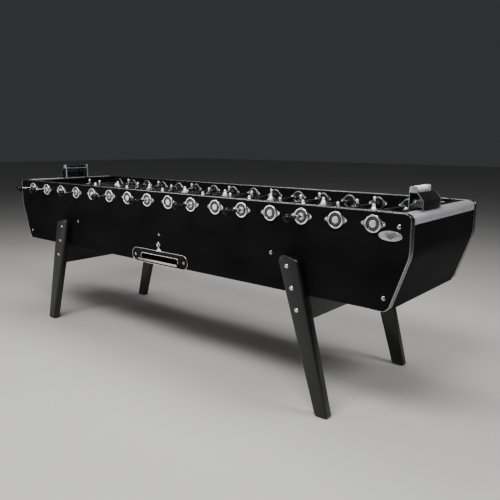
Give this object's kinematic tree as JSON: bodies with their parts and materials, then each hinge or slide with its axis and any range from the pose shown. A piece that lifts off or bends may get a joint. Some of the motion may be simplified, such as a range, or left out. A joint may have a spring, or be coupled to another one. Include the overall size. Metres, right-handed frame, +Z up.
{
  "type": "foosball table",
  "caption": "Long free-standing bar football table: black slant-ended cabinet, splayed board legs, telescopic player rods with ball knobs, chrome bearings, ball trays and score units.",
  "frame": {"origin": "on the floor under the middle of the table", "axes": "+X along the length of the table, towards its right end seen from the near side; +Y from the near side to the far side; +Z up"},
  "size_m": [2.78, 0.9638, 0.9935],
  "materials": {
    "black_laminate": "satin black laminate on board, fine grain",
    "inner_board": "plain dark board",
    "playfield_linoleum": "very dark olive linoleum, matt",
    "rail_aluminium": "brushed along its length",
    "trim_aluminium": "satin edge strip with bright corners",
    "chrome_castings": "polished",
    "chrome_fasteners": "polished",
    "rod_chrome": "polished ground rod",
    "cast_aluminium": "polished casting",
    "bush_plastic": "black moulded plastic",
    "leg_lacquer": "black lacquer, half gloss",
    "badge_metal": "brushed oval with a raised rim",
    "smoked_acrylic": "smoked acrylic with polished edges",
    "bridge_aluminium": "satin",
    "ivory_plastic": "ivory, gloss",
    "knob_plastic": "black phenolic, high gloss",
    "black_enamel": "cast aluminium under glossy black enamel",
    "bumper_rubber": "black rubber"
  },
  "bodies": {
    "root": {"side_panel_near": "black_laminate", "side_panel_far": "black_laminate", "end_panel_left": "black_laminate", "end_panel_right": "black_laminate", "end_wall_left": "black_laminate", "end_wall_right": "black_laminate", "cabinet_floor": "inner_board", "ball_ramps": "inner_board", "playfield": "playfield_linoleum", "end_rails": "rail_aluminium", "edge_trims": "trim_aluminium", "ball_trays": "chrome_castings", "bearing_flanges": "chrome_castings", "bearing_bushes": "bush_plastic", "panel_screws": "chrome_fasteners", "leg_bolts": "chrome_fasteners", "leg_near_left": "leg_lacquer", "leg_near_right": "leg_lacquer", "leg_far_left": "leg_lacquer", "leg_far_right": "leg_lacquer", "cross_beams": "leg_lacquer", "badge_plate": "badge_metal", "score_cases": "smoked_acrylic", "score_bridges": "bridge_aluminium"},
    "inner_rod_01": {"inner_rod_01": "rod_chrome"},
    "rod_01": {"rod_01": "cast_aluminium"},
    "inner_rod_02": {"inner_rod_02": "rod_chrome"},
    "rod_02": {"rod_02": "cast_aluminium"},
    "inner_rod_03": {"inner_rod_03": "rod_chrome"},
    "rod_03": {"rod_03": "cast_aluminium"},
    "inner_rod_04": {"inner_rod_04": "rod_chrome"},
    "rod_04": {"rod_04": "cast_aluminium"},
    "inner_rod_05": {"inner_rod_05": "rod_chrome"},
    "rod_05": {"rod_05": "cast_aluminium"},
    "inner_rod_06": {"inner_rod_06": "rod_chrome"},
    "rod_06": {"rod_06": "cast_aluminium"},
    "inner_rod_07": {"inner_rod_07": "rod_chrome"},
    "rod_07": {"rod_07": "cast_aluminium"},
    "inner_rod_08": {"inner_rod_08": "rod_chrome"},
    "rod_08": {"rod_08": "cast_aluminium"},
    "inner_rod_09": {"inner_rod_09": "rod_chrome"},
    "rod_09": {"rod_09": "cast_aluminium"},
    "inner_rod_10": {"inner_rod_10": "rod_chrome"},
    "rod_10": {"rod_10": "cast_aluminium"},
    "inner_rod_11": {"inner_rod_11": "rod_chrome"},
    "rod_11": {"rod_11": "cast_aluminium"},
    "inner_rod_12": {"inner_rod_12": "rod_chrome"},
    "rod_12": {"rod_12": "cast_aluminium"},
    "inner_rod_13": {"inner_rod_13": "rod_chrome"},
    "rod_13": {"rod_13": "cast_aluminium"},
    "inner_rod_14": {"inner_rod_14": "rod_chrome"},
    "rod_14": {"rod_14": "cast_aluminium"},
    "inner_rod_15": {"inner_rod_15": "rod_chrome"},
    "rod_15": {"rod_15": "cast_aluminium"},
    "inner_rod_16": {"inner_rod_16": "rod_chrome"},
    "rod_16": {"rod_16": "cast_aluminium"},
    "score_wheel_right_near": {"score_wheel_right_near": "ivory_plastic"},
    "score_wheel_right_far": {"score_wheel_right_far": "ivory_plastic"},
    "score_wheel_left_near": {"score_wheel_left_near": "knob_plastic"},
    "score_wheel_left_far": {"score_wheel_left_far": "knob_plastic"}
  },
  "joints": [
    {"name": "score_wheel_right_near_turn", "type": "hinge", "parent": "root", "child": "score_wheel_right_near", "pos_m": [1.337, -0.203, 0.9825], "axis": [0, 1, 0], "continuous": true},
    {"name": "score_wheel_right_far_turn", "type": "hinge", "parent": "root", "child": "score_wheel_right_far", "pos_m": [1.337, -0.141, 0.9825], "axis": [0, 1, 0], "continuous": true},
    {"name": "score_wheel_left_near_turn", "type": "hinge", "parent": "root", "child": "score_wheel_left_near", "pos_m": [-1.337, -0.013, 0.9825], "axis": [0, 1, 0], "continuous": true},
    {"name": "score_wheel_left_far_turn", "type": "hinge", "parent": "root", "child": "score_wheel_left_far", "pos_m": [-1.337, 0.069, 0.9825], "axis": [0, 1, 0], "continuous": true},
    {"name": "rod_01_turn", "type": "hinge", "parent": "root", "child": "inner_rod_01", "pos_m": [-1.2375, 0, 0.851], "axis": [0, 1, 0], "continuous": true},
    {"name": "rod_01_slide", "type": "slide", "parent": "inner_rod_01", "child": "rod_01", "axis": [0, -1, 0], "range_m": [0, 0.142]},
    {"name": "rod_02_turn", "type": "hinge", "parent": "root", "child": "inner_rod_02", "pos_m": [-1.0725, 0, 0.851], "axis": [0, 1, 0], "continuous": true},
    {"name": "rod_02_slide", "type": "slide", "parent": "inner_rod_02", "child": "rod_02", "axis": [0, -1, 0], "range_m": [0, 0.33]},
    {"name": "rod_03_turn", "type": "hinge", "parent": "root", "child": "inner_rod_03", "pos_m": [-0.9075, 0, 0.851], "axis": [0, 1, 0], "continuous": true},
    {"name": "rod_03_slide", "type": "slide", "parent": "inner_rod_03", "child": "rod_03", "axis": [0, 1, 0], "range_m": [0, 0.22]},
    {"name": "rod_04_turn", "type": "hinge", "parent": "root", "child": "inner_rod_04", "pos_m": [-0.7425, 0, 0.851], "axis": [0, 1, 0], "continuous": true},
    {"name": "rod_04_slide", "type": "slide", "parent": "inner_rod_04", "child": "rod_04", "axis": [0, -1, 0], "range_m": [0, 0.22]},
    {"name": "rod_05_turn", "type": "hinge", "parent": "root", "child": "inner_rod_05", "pos_m": [-0.5775, 0, 0.851], "axis": [0, 1, 0], "continuous": true},
    {"name": "rod_05_slide", "type": "slide", "parent": "inner_rod_05", "child": "rod_05", "axis": [0, 1, 0], "range_m": [0, 0.22]},
    {"name": "rod_06_turn", "type": "hinge", "parent": "root", "child": "inner_rod_06", "pos_m": [-0.4125, 0, 0.851], "axis": [0, 1, 0], "continuous": true},
    {"name": "rod_06_slide", "type": "slide", "parent": "inner_rod_06", "child": "rod_06", "axis": [0, -1, 0], "range_m": [0, 0.22]},
    {"name": "rod_07_turn", "type": "hinge", "parent": "root", "child": "inner_rod_07", "pos_m": [-0.2475, 0, 0.851], "axis": [0, 1, 0], "continuous": true},
    {"name": "rod_07_slide", "type": "slide", "parent": "inner_rod_07", "child": "rod_07", "axis": [0, 1, 0], "range_m": [0, 0.22]},
    {"name": "rod_08_turn", "type": "hinge", "parent": "root", "child": "inner_rod_08", "pos_m": [-0.0825, 0, 0.851], "axis": [0, 1, 0], "continuous": true},
    {"name": "rod_08_slide", "type": "slide", "parent": "inner_rod_08", "child": "rod_08", "axis": [0, -1, 0], "range_m": [0, 0.22]},
    {"name": "rod_09_turn", "type": "hinge", "parent": "root", "child": "inner_rod_09", "pos_m": [0.0825, 0, 0.851], "axis": [0, 1, 0], "continuous": true},
    {"name": "rod_09_slide", "type": "slide", "parent": "inner_rod_09", "child": "rod_09", "axis": [0, 1, 0], "range_m": [0, 0.22]},
    {"name": "rod_10_turn", "type": "hinge", "parent": "root", "child": "inner_rod_10", "pos_m": [0.2475, 0, 0.851], "axis": [0, 1, 0], "continuous": true},
    {"name": "rod_10_slide", "type": "slide", "parent": "inner_rod_10", "child": "rod_10", "axis": [0, -1, 0], "range_m": [0, 0.22]},
    {"name": "rod_11_turn", "type": "hinge", "parent": "root", "child": "inner_rod_11", "pos_m": [0.4125, 0, 0.851], "axis": [0, 1, 0], "continuous": true},
    {"name": "rod_11_slide", "type": "slide", "parent": "inner_rod_11", "child": "rod_11", "axis": [0, 1, 0], "range_m": [0, 0.22]},
    {"name": "rod_12_turn", "type": "hinge", "parent": "root", "child": "inner_rod_12", "pos_m": [0.5775, 0, 0.851], "axis": [0, 1, 0], "continuous": true},
    {"name": "rod_12_slide", "type": "slide", "parent": "inner_rod_12", "child": "rod_12", "axis": [0, -1, 0], "range_m": [0, 0.22]},
    {"name": "rod_13_turn", "type": "hinge", "parent": "root", "child": "inner_rod_13", "pos_m": [0.7425, 0, 0.851], "axis": [0, 1, 0], "continuous": true},
    {"name": "rod_13_slide", "type": "slide", "parent": "inner_rod_13", "child": "rod_13", "axis": [0, 1, 0], "range_m": [0, 0.22]},
    {"name": "rod_14_turn", "type": "hinge", "parent": "root", "child": "inner_rod_14", "pos_m": [0.9075, 0, 0.851], "axis": [0, 1, 0], "continuous": true},
    {"name": "rod_14_slide", "type": "slide", "parent": "inner_rod_14", "child": "rod_14", "axis": [0, -1, 0], "range_m": [0, 0.22]},
    {"name": "rod_15_turn", "type": "hinge", "parent": "root", "child": "inner_rod_15", "pos_m": [1.0725, 0, 0.851], "axis": [0, 1, 0], "continuous": true},
    {"name": "rod_15_slide", "type": "slide", "parent": "inner_rod_15", "child": "rod_15", "axis": [0, 1, 0], "range_m": [0, 0.33]},
    {"name": "rod_16_turn", "type": "hinge", "parent": "root", "child": "inner_rod_16", "pos_m": [1.2375, 0, 0.851], "axis": [0, 1, 0], "continuous": true},
    {"name": "rod_16_slide", "type": "slide", "parent": "inner_rod_16", "child": "rod_16", "axis": [0, 1, 0], "range_m": [0, 0.142]}
  ]
}
